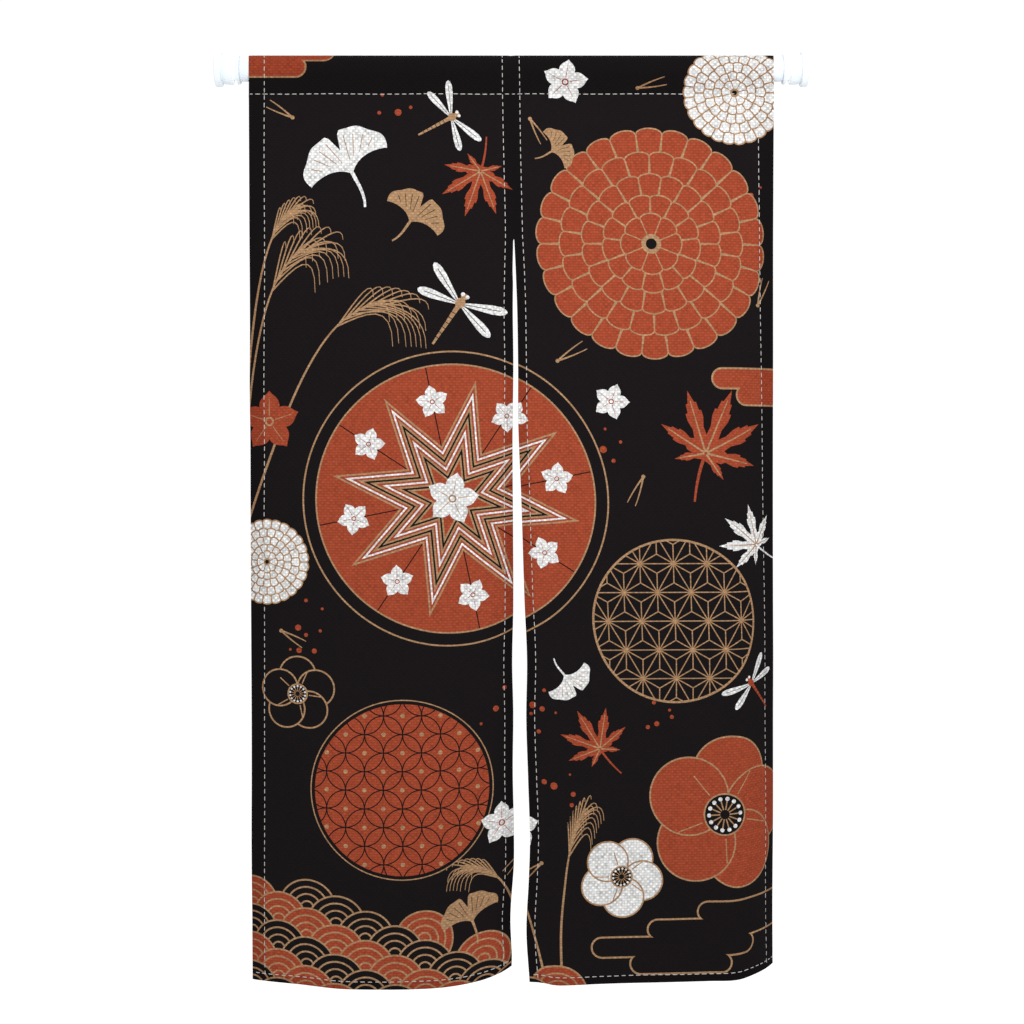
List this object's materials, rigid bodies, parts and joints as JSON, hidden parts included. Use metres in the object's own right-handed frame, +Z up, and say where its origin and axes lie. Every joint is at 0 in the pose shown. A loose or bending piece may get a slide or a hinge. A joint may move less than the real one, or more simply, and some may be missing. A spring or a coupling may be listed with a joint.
{
  "type": "noren curtain on a tension rod",
  "caption": "Split doorway curtain of printed canvas, its panels sewn together at the top and hung by a rod pocket on a white tension rod.",
  "frame": {"origin": "middle of the rod's axis, from which the cloth hangs", "axes": "+Z up, +X along the rod to the right of someone who faces the print, +Y away from them, so the printed face looks towards -Y"},
  "size_m": [0.957, 0.0865, 1.5153],
  "materials": {
    "printed_cloth": "plain weave canvas, printed in vermilion, tan and white on black",
    "stitch_thread": "matt light grey sewing thread",
    "rod_tube": "satin white coating",
    "rod_cap": "satin white moulding"
  },
  "bodies": {
    "root": {"panel_left": "printed_cloth", "panel_right": "printed_cloth", "rod": "rod_tube", "rod_end_left": "rod_cap", "rod_end_right": "rod_cap"}
  },
  "joints": []
}
